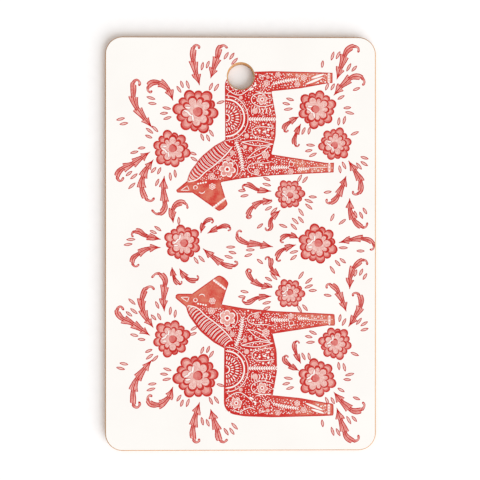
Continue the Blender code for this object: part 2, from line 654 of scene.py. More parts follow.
dark_glue = make_glue_material()
glue_sheets = glue_tree()
under_plies = [number * PLY_PITCH - GLUE_LINE for number in range(1, len(PLIES) + 1)]
behind_chamfer = under_plies[-1] + GLUE_LINE - (FACE_Z - FACE_CHAMFER)
press("glue_lines", heights("gaps", under_plies[:-1]), glue_sheets, Inset=GLUE_INSET, Ink=dark_glue)
press(
    "skin_glue", heights("top_gap", under_plies[-1:]), glue_sheets, Inset=GLUE_INSET + behind_chamfer,
    Ink=dark_glue,
)

# %% [markdown]
# ## Flowers
#
# Every flower is the same drawing at another size: a ring of twelve petals, big and small by turns,
# outlined in solid red, with a smaller flower of nine petals inside it and a bud a little off the middle. A
# petalled outline is a circle whose radius swells and shrinks, so one tree draws them all. The flowers are
# loose points that carry a radius and a turn, and the tree is run once for each layer of ink, from the
# widest to the smallest.

# %% Where the flowers grow
# Each row is x, y and radius in millimetres from the middle of the board. Those in the first list grow in
# both halves of the board, the others lie across the middle.
TWIN_FLOWERS = {
    "shoulder": (-74.6, -101.8, 19.6),
    "great": (-48.0, -142.7, 23.7),
    "chest": (52.8, -53.5, 15.5),
    "knee": (102.0, -107.4, 17.4),
    "belly": (82.1, -145.0, 20.2),
}
MIDDLE_FLOWERS = {"left": (-62.5, 0.9, 19.4), "right": (82.8, -0.5, 20.8)}


def flower_marks():
    rows = []
    for number, (x, y, radius) in enumerate(TWIN_FLOWERS.values()):
        turn = 0.9 * number
        rows += [(x, y, radius, turn, 1.0), (x, -y, radius, -turn, -1.0)]
    for number, (x, y, radius) in enumerate(MIDDLE_FLOWERS.values()):
        rows.append((x, y, radius, 0.4 + 1.1 * number, 1.0))
    return spots(
        "flowers",
        [(x, y) for x, y, *_ in rows],
        size=[radius * MM for _, _, radius, _, _ in rows],
        turn=[turn for *_, turn, _ in rows],
        flip=[flip for *_, flip in rows],
    )


# %% The tree that draws one layer of every flower
PETAL_STEPS = 12
WOBBLE = 0.03  # how far the whole flower is from round, as a share of its radius
BIG_PETAL_WIDTH = 5.0  # the big petals are wide as well as long


def flower_tree():
    tree, nodes, given = new_tree(
        "petalled_disc", Size=float, Petals=int, Depth=float, Bluntness=float, Uneven=float, Turn=float,
        Shift=tuple, **INKED,
    )
    circle = nodes.add(
        "GeometryNodeCurvePrimitiveCircle", None, {"Resolution": given["Petals"] * PETAL_STEPS, "Radius": 1.0}
    )
    angle = nodes.add("GeometryNodeSplineParameter") * (2 * math.pi)
    half_petal = given["Petals"] * 0.5
    wave = (angle * half_petal).math("SINE")
    swell = 1.0 - given["Depth"] + given["Depth"] * abs(wave) ** given["Bluntness"]
    wobble = 1.0 + WOBBLE * (angle * 3.0 + 1.0).math("SINE")
    radius = given["Size"] * swell * (1.0 + given["Uneven"] * wave) * wobble
    wider = BIG_PETAL_WIDTH * given["Uneven"] / half_petal
    bearing = angle + given["Turn"] - wider * (angle * half_petal).math("COSINE")
    place = nodes.combine(
        radius * bearing.math("COSINE"), radius * bearing.math("SINE"), 0.0
    )
    place = nodes.vector("ADD", place, given["Shift"])
    disc = filled(nodes, reshaped(nodes, circle, place))
    size, turn, flip = (stored(nodes, label) for label in ("size", "turn", "flip"))
    scale = nodes.combine(size, size * flip, size)
    close_print(nodes, stamped(nodes, given["Marks"], disc, scale, turn), given)
    return tree


# %% Print the flowers, widest layer first
# name, size, petals, depth of the notches, bluntness of the petals, uneven, turn, shift, ink
NO_SHIFT = (0.0, 0.0, 0.0)
FLOWER_LAYERS = [
    ("flower_outlines", 1.00, 12, 0.16, 0.65, 0.06, 0.0, NO_SHIFT, outline_red),
    ("flower_petals", 0.905, 12, 0.27, 0.50, 0.06, 0.0, NO_SHIFT, petal_pink),
    ("flower_petal_hearts", 0.82, 12, 0.36, 0.50, 0.06, 0.0, NO_SHIFT, petal_light),
    ("flower_inner_outlines", 0.72, 9, 0.25, 0.55, 0.05, 0.3, (0.02, -0.02, 0.0), outline_red),
    ("flower_inner_petals", 0.61, 9, 0.44, 0.45, 0.06, 0.3, (0.01, 0.0, 0.0), pale_pink),
    ("flower_bud_shadows", 0.22, 6, 0.06, 0.60, 0.0, 0.0, (0.09, -0.05, 0.0), outline_red),
    ("flower_buds", 0.19, 6, 0.06, 0.60, 0.0, 0.0, (0.04, -0.02, 0.0), petal_pink),
]
petalled_disc = flower_tree()


COLUMNS = ("Size", "Petals", "Depth", "Bluntness", "Uneven", "Turn", "Shift", "Ink")


def press_flowers(marks, layers, first_level):
    for level, (name, *values) in enumerate(layers, first_level):
        press(name, marks, petalled_disc, **dict(zip(COLUMNS, values)), Level=float(level))


press_flowers(flower_marks(), FLOWER_LAYERS, first_level=4)

# %% [markdown]
# ## Dabs
#
# The smallest mark is a dab of the brush: a grain shape with pointed ends, or a round dot. Seeds are dabs,
# and so are the lights on a bud and most of what fills the horses. One tree prints them all from loose
# points that carry a length, a width and a turn. The outline is a circle whose width pinches in towards its
# ends.


# %% The tree that prints dabs
DAB_STEPS = 18


def dab_tree():
    tree, nodes, given = new_tree("dabs", Pinch=float, Inset=float, **INKED)
    circle = nodes.add("GeometryNodeCurvePrimitiveCircle", None, {"Resolution": DAB_STEPS, "Radius": 0.5})
    place = nodes.add("ShaderNodeSeparateXYZ", None, {0: nodes.add("GeometryNodeInputPosition")})
    pinch = (2.0 * abs(place["Y"])) ** given["Pinch"]
    shaped = nodes.combine(place["X"], place["Y"] * pinch, 0.0)
    grain = filled(nodes, reshaped(nodes, circle, shaped))
    reach = given["Inset"] * (1.0 + given["Pinch"])
    long, wide, turn = (stored(nodes, label) for label in ("long", "wide", "turn"))
    scale = nodes.combine(long - reach * 2.0, wide - given["Inset"] * 2.0, 1.0)
    close_print(nodes, stamped(nodes, given["Marks"], grain, scale, turn), given)
    return tree


LIFTS = (0.0, 0.15, 0.30, 0.45)  # shares of a level, by turns, so that dabs that overlap don't coincide


def dab_marks(name, rows):
    """Spots for dabs. A row is x, y, turn in degrees, length and width in millimetres."""
    return spots(
        name,
        [(x, y) for x, y, *_ in rows],
        turn=[math.radians(turn) for _, _, turn, _, _ in rows],
        long=[length * MM for _, _, _, length, _ in rows],
        wide=[width * MM for *_, width in rows],
        lift=[LIFTS[number % len(LIFTS)] for number in range(len(rows))],
    )


dabs = dab_tree()

# %% Seeds, in fans of one to three that point away from their flower
# For each flower: bearing in degrees from +X, distance from its middle in millimetres, and how many.
TWIN_SEEDS = {
    "shoulder": [
        (125, 28, 2), (87, 28, 2), (175, 40, 1), (182, 32, 1), (147, 51, 2), (137, 58, 1), (113, 39, 1),
        (18, 25, 2), (220, 29, 3),
    ],
    "great": [
        (66, 30, 3), (-20, 28, 1), (176, 33, 3), (193, 49, 2), (242, 31, 3), (-54, 32, 2), (-79, 50, 2),
        (-57, 69, 3), (172, 80, 2),
    ],
    "chest": [
        (146, 26, 3), (181, 50, 2), (208, 28, 2), (-50, 21, 2), (27, 23, 2), (7, 25, 1), (58, 23, 1),
        (133, 47, 1), (-3, 41, 1),
    ],
    "knee": [(74, 26, 2), (34, 36, 3), (166, 28, 3), (-29, 24, 1), (-75, 26, 2), (70, 80, 3)],
    "belly": [
        (116, 26, 2), (190, 32, 3), (2, 34, 2), (-60, 28, 2), (-26, 29, 1), (-27, 48, 1), (-50, 58, 2),
        (-83, 49, 1), (-71, 61, 2),
    ],
}
MIDDLE_SEEDS = {
    "left": [(-46, 25, 2), (-11, 53, 3), (179, 57, 2), (155, 32, 2), (100, 24, 1)],
    "right": [
        (204, 28, 2), (-8, 28, 1), (-9, 47, 1), (-38, 31, 2), (-60, 32, 1), (134, 33, 3), (152, 42, 1),
        (61, 33, 1), (42, 36, 1), (187, 74, 2),
    ],
}
SEED_GAP = 5.4
SEED_LENGTH = (8.4, 10.4)
SEED_WIDTH = 3.3
luck = random.Random(7)


def fan(flower, bearing, distance, count):
    """The seeds of one fan. They spread sideways, and every other one lies a little further out."""
    x, y, _ = flower
    for number in range(count):
        away = distance + (1.6 if number % 2 else -1.2) * (count > 1)
        aim = math.radians(bearing) + (number - (count - 1) / 2) * SEED_GAP / away
        tilt = math.degrees(aim) + luck.uniform(-9, 9)
        length = luck.uniform(*SEED_LENGTH)
        yield (x + away * math.cos(aim), y + away * math.sin(aim), tilt, length, SEED_WIDTH)


def seed_rows():
    rows = []
    for name, fans in TWIN_SEEDS.items():
        grown = [seed for one in fans for seed in fan(TWIN_FLOWERS[name], *one)]
        rows += grown + [(x, -y, -turn, length, width) for x, y, turn, length, width in grown]
    for name, fans in MIDDLE_SEEDS.items():
        rows += [seed for one in fans for seed in fan(MIDDLE_FLOWERS[name], *one)]
    return rows


seeds = dab_marks("seeds", seed_rows())
press("seed_outlines", seeds, dabs, Pinch=0.55, Inset=0.0, Level=0.4, Ink=deep_red)
press("seed_hearts", seeds, dabs, Pinch=0.55, Inset=0.80 * MM, Level=0.65, Ink=pale_pink)

# %% Lights on the buds and a stipple on the inner petals
# Four strokes of bare white to the left of each bud. A row is x, y, turn in degrees and length. All but the
# turn are shares of the flower's radius.
BUD_LIGHTS = [
    (-0.15, 0.31, 82, 0.33), (-0.29, 0.15, 40, 0.24), (-0.42, 0.02, 25, 0.30), (-0.37, -0.15, 5, 0.26),
]
LIGHT_WIDTH = 0.09
STIPPLE_PER_FLOWER = 64
STIPPLE_DOT = 0.7
STIPPLE_RING = (0.26, 0.56)  # where the dots start and end
BARE_SIDE = -0.55  # the cosine past which the lights leave no room for dots


def every_flower():
    """Each flower of the board as x, y, radius and the sign of its half."""
    for x, y, radius in TWIN_FLOWERS.values():
        yield x, y, radius, 1
        yield x, -y, radius, -1
    for x, y, radius in MIDDLE_FLOWERS.values():
        yield x, y, radius, 1


def bud_light_rows():
    return [
        (x + u * radius, y + v * radius * sign, turn * sign, length * radius, LIGHT_WIDTH * radius)
        for x, y, radius, sign in every_flower()
        for u, v, turn, length in BUD_LIGHTS
    ]


def stipple_rows():
    """Dots on a sunflower spiral between the bud and the edge of the inner petals."""
    inner, outer = STIPPLE_RING
    rows = []
    for x, y, radius, sign in every_flower():
        for number in range(STIPPLE_PER_FLOWER):
            away = radius * (inner + (outer - inner) * math.sqrt(number / STIPPLE_PER_FLOWER))
            aim = number * math.pi * (3 - math.sqrt(5)) * sign
            if math.cos(aim) > BARE_SIDE:
                place = (x + away * math.cos(aim), y + away * math.sin(aim))
                rows.append((*place, 0, STIPPLE_DOT, STIPPLE_DOT))
    return rows


lights = dab_marks("lights", bud_light_rows())
stipple = dab_marks("stipple", stipple_rows())
press("flower_stipple", stipple, dabs, Pinch=0.0, Inset=0.0, Level=9.0, Ink=petal_pink)
press("flower_light_edges", lights, dabs, Pinch=0.2, Inset=-0.36 * MM, Level=11.0, Ink=outline_red)
press("flower_lights", lights, dabs, Pinch=0.2, Inset=0.0, Level=12.0, Ink=bare_white)

# %% [markdown]
# ## Leaves
#
# The leaves are long, toothed and curled at the tip, drawn with one sweep of the brush. A curve through a
# few points gives the sweep. The tree turns it into a strip: it stores on the curve where each point is,
# where it heads and how far along it lies, sweeps a two-point profile along it, and then moves the strip's
# two sides out by a half-width of its own making. That half-width is a sum of plain shapes: a quick rise
# from the stem, a slow fall to the tip, and a sawtooth whose teeth point forward. Three layers make a leaf:
# the outline, the lighter blade inside it with its curl, and three veins.


# %% A curve as a strip that knows where it is
def swept(nodes, curve, start=0.0, end=1.0):
    """A strip two points wide along a curve, with the numbers that spread() and a width need."""
    length = nodes.add("GeometryNodeSplineParameter")["Length"]
    notes = {
        "spot": ("FLOAT_VECTOR", nodes.add("GeometryNodeInputPosition")),
        "heading": ("FLOAT_VECTOR", nodes.add("GeometryNodeInputTangent")),
        "along": ("FLOAT", nodes.add("GeometryNodeSplineParameter")),
        "far": ("FLOAT", length),
        "whole": ("FLOAT", nodes.add("GeometryNodeSplineLength")),
        "broad": ("FLOAT", nodes.add("GeometryNodeInputRadius")),
    }
    for label, (kind, value) in notes.items():
        curve = store(nodes, curve, label, value, kind)
    if start or end < 1.0:
        cut = {"Curve": curve, "Start": start, "End": end}
        curve = nodes.add("GeometryNodeTrimCurve", {"mode": "FACTOR"}, cut)
    profile = nodes.add(
        "GeometryNodeCurvePrimitiveLine", None, {"Start": (-MM, 0.0, 0.0), "End": (MM, 0.0, 0.0)}
    )
    profile = store(nodes, profile, "side", nodes.add("GeometryNodeSplineParameter") * 2.0 - 1.0)
    return nodes.add("GeometryNodeCurveToMesh", None, {"Curve": curve, "Profile Curve": profile})


def spread(nodes, strip, across):
    """Moves each point of a swept strip sideways from its curve, by a distance to the right."""
    right = nodes.vector("CROSS_PRODUCT", stored(nodes, "heading", "FLOAT_VECTOR"), (0.0, 0.0, 1.0))
    step = nodes.add("ShaderNodeVectorMath", {"operation": "SCALE"}, {"Vector": right, "Scale": across})
    return reshaped(nodes, strip, nodes.vector("ADD", stored(nodes, "spot", "FLOAT_VECTOR"), step))


def ramp(nodes, value, low, high, start, end, smooth=False):
    """Goes from start to end while value goes from low to high, and stays level outside."""
    kind = "SMOOTHSTEP" if smooth else "LINEAR"
    return nodes.add(
        "ShaderNodeMapRange", {"interpolation_type": kind}, {0: value, 1: low, 2: high, 3: start, 4: end}
    )


# %% The tree that draws leaves
LEAF_STEPS = 110
TOOTH_LENGTH = 12.5 * MM
TOOTHED_SHARE = 0.80  # of a leaf's length, from the stem
THINNEST = 0.03 * MM  # half the width of a blade where its outline leaves no room for it


def leaf_width(nodes):
    """Half the width of a leaf, for a point of its swept strip."""
    along, whole, broad, side = (stored(nodes, label) for label in ("along", "whole", "broad", "side"))
    rise = ramp(nodes, along, 0.0, 0.20, 0.0, 1.0) ** 0.95
    fall = ramp(nodes, along, 0.60, 0.94, 1.0, 0.27, smooth=True)
    bulb = ramp(nodes, along, 0.91, 0.96, 0.0, 0.10, smooth=True)
    tail = ramp(nodes, along, 0.965, 1.0, 0.0, 0.995)
    rounded = (1.0 - tail * tail) ** 0.5
    count = (whole * TOOTHED_SHARE / TOOTH_LENGTH).math("ROUND")
    phase = along / TOOTHED_SHARE * count + 0.12 * (side > 0.0)
    tooth = 0.50 + 0.62 * phase.math("FRACT") ** 1.25
    toothed = along < TOOTHED_SHARE
    edge = 0.80 + toothed * (tooth - 0.80)
    return broad * rise * (fall + bulb) * rounded * edge


def leaf_tree(name, start, end, vein=False):
    """Leaves from start to end of their length: blades with an inset, or veins on a lane."""
    inputs = {"Lane": float, "Half": float} if vein else {"Inset": float}
    tree, nodes, given = new_tree(name, **inputs, **INKED)
    curve = nodes.add(
        "GeometryNodeResampleCurve", {"mode": "COUNT"}, {"Curve": given["Marks"], "Count": LEAF_STEPS}
    )
    strip = swept(nodes, curve, start, end)
    width = leaf_width(nodes)
    side = stored(nodes, "side")
    if vein:
        along = stored(nodes, "along")
        tip = ramp(nodes, along, end - 0.18, end, 1.0, 0.35)
        across = given["Lane"] * width + side * given["Half"] * tip
    else:
        across = side * (width - given["Inset"]).math("MAXIMUM", THINNEST)
    close_print(nodes, spread(nodes, strip, across), given)
    return tree


# %% Where the leaves sweep
# Each leaf starts at its stem. The last points bend round into the curl. The number in front is half the
# width.
TWIN_LEAVES = [
    (4.7, [(-97.1, -99), (-117.1, -85.5), (-130.6, -77.5), (-132.6, -71), (-129.6, -67.5), (-125.6, -71.5)]),
    (4.7, [(-93.6, -91), (-104.6, -73.5), (-105.6, -56.5), (-97.1, -46), (-92.6, -49.5)]),
    (4.4, [(-82.1, -73.5), (-83.1, -61.5), (-82.1, -47.5), (-82.1, -37.5), (-89.6, -32), (-96.1, -36.5)]),
    (4.8, [(-94.6, -124), (-106.1, -138), (-113.6, -150), (-115.6, -164.5), (-112.6, -176), (-108.6, -173),
           (-109.6, -169.5)]),
    (4.5, [(-72.6, -153.5), (-79.1, -167), (-91.1, -173.5), (-99.1, -169.5), (-98.1, -163), (-95.1, -164.5)]),
    (4.6, [(-44.1, -170), (-50.1, -191.5), (-51.1, -208), (-48.6, -213.5), (-45.1, -212.5), (-45.1, -209.5)]),
    (4.6, [(-32.6, -177.5), (-26.1, -198), (-19.1, -213.5), (-14.1, -210.5)]),
    (4.6, [(103.4, -176.5), (109.9, -196), (116.9, -210.5), (126.4, -211.5), (126.9, -206)]),
    (4.6, [(99.9, -159.5), (111.9, -173), (124.4, -180.5), (133.4, -175), (131.4, -170.5)]),
    (4.2, [(115.9, -90), (124.4, -76.5), (129.4, -66), (127.4, -55), (121.9, -53.5), (120.9, -57)]),
    (4.2, [(113.9, -73.5), (107.9, -58), (99.4, -45.5), (92.9, -44.5), (92.9, -48.5)]),
    (4.2, [(117.4, -49.5), (118.9, -33), (126.4, -21), (134.4, -18), (136.9, -23)]),
    (3.6, [(34.4, -47.5), (16.9, -42.5), (7.9, -32), (7.4, -28), (10.9, -28.5), (10.4, -31.5)]),
    (3.4, [(42.9, -36.5), (32.4, -25), (31.9, -17), (27.9, -14.5), (26.4, -17.5)]),
    (3.4, [(33.4, -56.5), (18.9, -58), (4.9, -63.5), (1.9, -61), (4.4, -58.5)]),
    (3.2, [(64.9, -129.5), (59.4, -117.5), (57.9, -108.5), (60.9, -105), (63.4, -107.5)]),
    (3.4, [(62.9, -137), (52.9, -131), (46.9, -124), (48.9, -120.5), (51.4, -122.5)]),
]
MIDDLE_LEAVES = [
    (3.2, [(-74.1, -25), (-72.1, -35), (-68.1, -42), (-64.1, -43), (-63.6, -40)]),
    (3.4, [(-66.1, -26.5), (-60.6, -34.5), (-52.1, -39.5), (-45.6, -37), (-47.1, -34)]),
    (4.0, [(-41.1, -5), (-28.1, -15.5), (-16.1, -23), (-6.1, -23.5), (-3.6, -20.5), (-7.1, -19)]),
    (3.8, [(-85.6, 4.5), (-103.1, 9), (-111.6, 13.5), (-117.1, 10.5), (-115.6, 7)]),
    (3.9, [(-85.6, -4), (-98.1, -5), (-110.1, -11), (-116.6, -18.5), (-113.1, -24.5), (-109.1, -22)]),
    (4.2, [(-72.6, 22), (-73.6, 35), (-67.6, 43.5), (-58.6, 42.5), (-57.1, 37.5)]),
    (3.0, [(-43.1, 11), (-40.6, 20), (-34.1, 26), (-29.6, 24.5), (-31.6, 22)]),
    (3.2, [(-36.1, 11), (-25.6, 16.5), (-15.1, 19), (-11.1, 15.5), (-14.1, 14)]),
    (3.8, [(105.2, 1), (119.5, 4.5), (131, 5.5), (141.6, 1.5), (143, -5.5), (139, -6.5)]),
    (4.0, [(35.4, -3.5), (17.9, -0.5), (3.9, 1.5), (-3.6, 8), (-2.1, 14), (1.4, 12.5)]),
    (3.2, [(62.9, 5.5), (53.4, 9), (44.9, 6.5), (43.4, 2), (46.4, 1.5)]),
    (3.4, [(59.9, -1), (48.4, -5), (39.9, -12), (39.9, -18.5), (43.4, -17.5)]),
]


def leaf_routes(leaves):
    return [[(x, y, half) for x, y in route] for half, route in leaves]


twin_leaves = leaf_routes(TWIN_LEAVES)
leaf_paths = paths("leaves", twin_leaves + mirrored(twin_leaves) + leaf_routes(MIDDLE_LEAVES))
press("leaf_outlines", leaf_paths, leaf_tree("leaf_outline", 0.0, 1.0), Inset=0.0, Level=1.0, Ink=deep_red)
press(
    "leaf_blades", leaf_paths, leaf_tree("leaf_blade", 0.07, 0.88), Inset=1.0 * MM, Level=2.0, Ink=leaf_red
)
curl = leaf_tree("leaf_curl", 0.84, 0.97)
press("leaf_curls", leaf_paths, curl, Inset=0.58 * MM, Level=2.3, Ink=leaf_red)
midrib = leaf_tree("leaf_midrib", 0.02, 0.86, vein=True)
side_vein = leaf_tree("leaf_side_vein", 0.08, 0.72, vein=True)
press("leaf_midribs", leaf_paths, midrib, Lane=0.0, Half=0.50 * MM, Level=3.0, Ink=deep_red)
press("leaf_left_veins", leaf_paths, side_vein, Lane=-0.44, Half=0.16 * MM, Level=3.3, Ink=deep_red)
press("leaf_right_veins", leaf_paths, side_vein, Lane=0.44, Half=0.16 * MM, Level=3.6, Ink=deep_red)

# %% [markdown]
# ## The horses
#
# A dala horse is drawn standing, so its sizes are easiest to write that way: x runs from the rump towards
# the nose and y up from the hooves. lay() puts it down on the board with its back to the left and its nose
# towards the middle, and mirrored() adds its twin.
#
# The body is a polygon of the carved toy's corners. Each corner carries the radius that rounds it, and the
# tree does the rounding, so a corner can be softened without touching its neighbours.

# %% The horse's outline
HOOF_LINE = 99.6  # where the hooves stand, in board x
RUMP_LINE = -185.4  # where the rump touches, in board y
HORSE = [
    (-0.5, 66, 80), (0.6, 96, 40), (4.5, 116.8, 13), (73.5, 116.3, 0),
    (80, 128, 20), (92, 142.5, 30), (109, 155, 25), (118, 157.5, 2),
    (128, 169.5, 1.5), (130.5, 167.5, 1.2), (130.5, 151.5, 1), (147.5, 127.5, 3),
    (150.5, 123, 3), (148, 118, 2), (143, 113.5, 2.5), (136.5, 116, 4), (119.2, 121.3, 1), (115, 97.5, 60),
    (111.8, 64.5, 60), (108.5, -0.5, 0), (98, -1, 0), (98.4, 6.5, 0), (89.2, 66.6, 0.5), (69.5, 62, 30),
    (49, 61.5, 30), (21.2, 66.4, 0.5), (18, 35.5, 30), (12.6, 6.5, 4), (12, 0.6, 0), (1.2, 0.6, 0),
    (0.6, 15, 10), (-0.5, 66, 80),
]


def lay(route):
    """A route on the standing horse, laid down on the board."""
    return [(HOOF_LINE - y, RUMP_LINE + x, size) for x, y, size in route]


def both_horses(routes):
    laid = [lay(route) for route in routes]
    return laid + mirrored(laid)


def rounded(nodes, curve):
    """A polygon with each corner rounded by the size that its point carries."""
    corner = nodes.add("GeometryNodeInputRadius")
    return nodes.add(
        "GeometryNodeFilletCurve", {"mode": "POLY"},
        {"Curve": curve, "Count": 8, "Radius": corner, "Limit Radius": True},
    )


def solid_tree():
    tree, nodes, given = new_tree("solid_shape", **INKED)
    close_print(nodes, filled(nodes, rounded(nodes, given["Marks"])), given)
    return tree


def horse_ink():
    """The horse's red thins out to a warm coral towards the muzzle and the hooves."""
    material, nodes, shader = new_material("horse_red", **SATIN)
    spot = nodes.add("ShaderNodeTexCoord")["Object"]
    place = nodes.add("ShaderNodeSeparateXYZ", None, {0: spot})
    legs = ramp(nodes, place["X"], 0.005, 0.09, 0.0, 0.9)
    head = ramp(nodes, abs(place["Y"]), 0.062, 0.082, 0.75, 0.0)
    cloud = noise(nodes, spot, 85.0, 3.0)
    tooth = noise(nodes, spot, 900.0, 2.0)
    faded = legs.math("MAXIMUM", head) + (cloud - 0.5) * 2.0 + (tooth - 0.5) * 0.9
    red, warmer, coral = srgb(190, 38, 35), srgb(197, 62, 54), srgb(207, 117, 98)
    shade = shades(nodes, faded, (0.0, red), (0.45, warmer), (1.0, coral))
    nodes.plug(shader, "Base Color", shade)
    wear_layer(nodes, shader, spot)
    return material


horse_red = horse_ink()
horse_outline = paths("horse_outline", both_horses([HORSE]), smooth=False)
press("horse_bodies", horse_outline, solid_tree(), Level=1.0, Ink=horse_red)

# %% [markdown]
# ## White lines on the horses
#
# The saddle, the mane and the vines are thin lines of bare white. Each is a stroke: a curve whose points
# carry their width, swept like a leaf. Its ends taper, as a brush's do.


# %% The tree that draws strokes
LIFT_TURN = 0.37  # strokes that cross have different shares of a level, so they don't coincide
HIGHEST_LIFT = 0.6


def even_steps(nodes, curve, step):
    sockets = {"Curve": curve, "Length": step}
    return nodes.add("GeometryNodeResampleCurve", {"mode": "LENGTH"}, sockets)


def stroke_tree(name, edge=False):
    """Strokes along curves, or an edge: a line of even width all along the inside of a rounded polygon."""
    tree, nodes, given = new_tree(name, Step=float, Taper=float, **INKED)
    curve = rounded(nodes, given["Marks"]) if edge else given["Marks"]
    curve = even_steps(nodes, curve, given["Step"])
    number = nodes.add("GeometryNodeInputIndex")
    number = nodes.add("GeometryNodeFieldOnDomain", {"domain": "CURVE"}, {0: number})
    lift = (number * LIFT_TURN).math("FRACT") * HIGHEST_LIFT
    strip = swept(nodes, store(nodes, curve, "lift", lift))
    side = stored(nodes, "side")
    if edge:
        across = (side + 1.0) * given["Taper"] * -0.5
    else:
        far, whole = stored(nodes, "far"), stored(nodes, "whole")
        to_end = far.math("MINIMUM", whole - far)
        narrow = 0.3 + ramp(nodes, to_end, 0.0, given["Taper"], 0.0, 0.7)
        across = side * stored(nodes, "broad") * 0.5 * narrow
    close_print(nodes, spread(nodes, strip, across), given)
    return tree


def arc(x, y, radius, start, end, width, count=9):
    """Points round part of a circle, in degrees. From 0 to 360 they close up."""
    turns = [math.radians(start + (end - start) * number / (count - 1)) for number in range(count)]
    points = [(x + radius * math.cos(turn), y + radius * math.sin(turn), width) for turn in turns]
    return [*points[:-1], points[0]] if end - start == 360 else points


def lens(x, y, end_x, end_y, bulge, width):
    """Two lines that bow apart between two points, like the edges of a leaf."""
    middle_x, middle_y = (x + end_x) / 2, (y + end_y) / 2
    length = math.hypot(end_x - x, end_y - y)
    off_x, off_y = bulge * (y - end_y) / length, bulge * (end_x - x) / length
    return [
        [(x, y, width), (middle_x + sign * off_x, middle_y + sign * off_y, width), (end_x, end_y, width)]
        for sign in (1, -1)
    ]


# %% The lines
HAIR, FINE, THIN, BOLD = 0.52, 0.66, 0.8, 1.15
SADDLE = (50.0, 116.0)
MANE_LINE = [
    (80.5, 108.5, BOLD), (85.5, 112, BOLD), (92.5, 118.5, BOLD), (101, 128, BOLD), (108, 137.5, BOLD),
    (116.5, 147, BOLD), (119, 156.5, BOLD),
]
CREST_LINE = [(73.5, 116.5), (80, 128), (92, 142.5), (109, 155), (117, 157)]
MANE_STROKES = 34


def part_way(points, share):
    """A point a share of the way along a polyline."""
    lengths = [math.dist(a[:2], b[:2]) for a, b in zip(points, points[1:])]
    left = share * sum(lengths)
    for (x, y, *_), (end_x, end_y, *_), length in zip(points, points[1:], lengths):
        if left <= length:
            break
        left -= length
    return x + (end_x - x) * left / length, y + (end_y - y) * left / length


def mane_strokes():
    """Hairs from the mane line to the crest. Each bows a little, and some lie in pairs."""
    for number in range(MANE_STROKES):
        share = (number + 0.5 + 0.22 * (-1) ** number + luck.uniform(-0.1, 0.1)) / MANE_STROKES
        x, y = part_way(MANE_LINE, share)
        end_x, end_y = part_way(CREST_LINE, min(share * 1.02, 1.0))
        end_x, end_y = end_x + (x - end_x) * 0.05, end_y + (y - end_y) * 0.05
        bow = luck.uniform(0.6, 1.4) * 0.7
        middle = ((x + end_x) / 2 + bow, (y + end_y) / 2 + bow)
        yield [(x, y, HAIR), (*middle, HAIR), (end_x, end_y, HAIR)]


EAR = [(127.9, 164.2), (127.9, 155), (123, 157)]
HORSE_BANDS = [
    [(146.8, 129.0, 2.6), (136.9, 116.2, 2.6)],
    [(108.2, 4.2, 3.2), (98.5, 4.2, 3.2)],
    [(12.4, 4.6, 3.2), (1.3, 4.6, 3.2)],
]
HORSE_LINES = [
    MANE_LINE,
    *mane_strokes(),
    arc(*SADDLE, 24.3, 180, 360, THIN),
    arc(*SADDLE, 20.2, 180, 360, 1.6),
    arc(*SADDLE, 4.2, 180, 360, BOLD, 6),
    # the neck and the head
    arc(105.3, 114.1, 11.2, 130, 330, FINE),
    *[[(*start, THIN), (*end, THIN)] for start, end in zip(EAR, EAR[1:] + EAR[:1])],
    arc(124.8, 148.4, 2.0, 0, 360, THIN, 7),
    arc(127.5, 141.5, 3.6, -75, 60, THIN, 5),
    # the foreleg
    [(112, 78, FINE), (110.7, 84, FINE), (107.4, 91, THIN), (102.1, 91.6, THIN), (98.8, 85, THIN),
     (98.3, 72.6, THIN), (96.7, 65.2, FINE)],
    [(104, 66, THIN), (103, 56, THIN), (103.6, 48, FINE)],
    [(104.5, 38, THIN), (105, 31, THIN), (103.5, 24, FINE), (103, 6, FINE)],
    arc(99.6, 45, 2.6, 0, 360, FINE, 7),
    # the shoulder
    *lens(93.7, 92.8, 79.7, 68, 2.6, THIN),
    *lens(75.9, 99.1, 78.3, 64.5, 2.7, THIN),
    [(73.5, 64.5, THIN), (71.2, 79, THIN), (68.5, 86, THIN), (64.8, 87.5, THIN), (61, 85, THIN),
     (59.5, 78, THIN), (61, 63, THIN)],
    [(51.3, 91, THIN), (51.3, 62.5, THIN)],
    [(104.8, 97.7, THIN), (97, 98.5, THIN), (85, 101.3, THIN), (75.5, 105, THIN)],
    # the belly
    [(46, 88, FINE), (39, 88, FINE)],
    *[[(45.2, y, BOLD), (42.2, y - 1.6, BOLD), (39.2, y, BOLD)] for y in (80.5, 77, 73.2, 69)],
    [(42.2, 66.5, THIN), (42.2, 62, FINE)],
    [(34.9, 63.8, THIN), (37.6, 76, THIN), (36, 83, THIN), (31.5, 88, THIN), (26.3, 86.5, THIN),
     (23.6, 79, THIN), (23.4, 66.5, THIN)],
    # the rump
    [(17.6, 115.5, THIN), (23.5, 108, THIN), (25.2, 101, THIN), (20.5, 92.5, THIN), (15.2, 87, THIN)],
    [(7.5, 108.2, THIN), (4.1, 101.5, THIN), (7, 95.3, THIN), (9, 89, THIN), (6.5, 83.7, THIN)],
    [(21, 84.2, THIN), (23, 77, THIN), (22.6, 66.5, FINE)],
    # the hind leg
    *lens(2.7, 79.9, 9, 75.5, 1.7, FINE),
    [(13.5, 65, THIN), (10, 52, THIN), (8, 38, THIN)],
]
stroke = stroke_tree("strokes")
horse_strokes = paths("horse_strokes", both_horses(HORSE_LINES))
press("horse_lines", horse_strokes, stroke, Step=1.1 * MM, Taper=2.2 * MM, Level=4.0, Ink=bare_white)
horse_bands = paths("horse_bands", both_horses(HORSE_BANDS))
press("horse_bands", horse_bands, stroke, Step=1.1 * MM, Taper=0.1 * MM, Level=3.0, Ink=pale_pink)
press(
    "horse_edges", horse_outline, stroke_tree("edges", edge=True), Step=1.5 * MM, Taper=1.1 * MM, Level=2.0,
    Ink=outline_red,
)

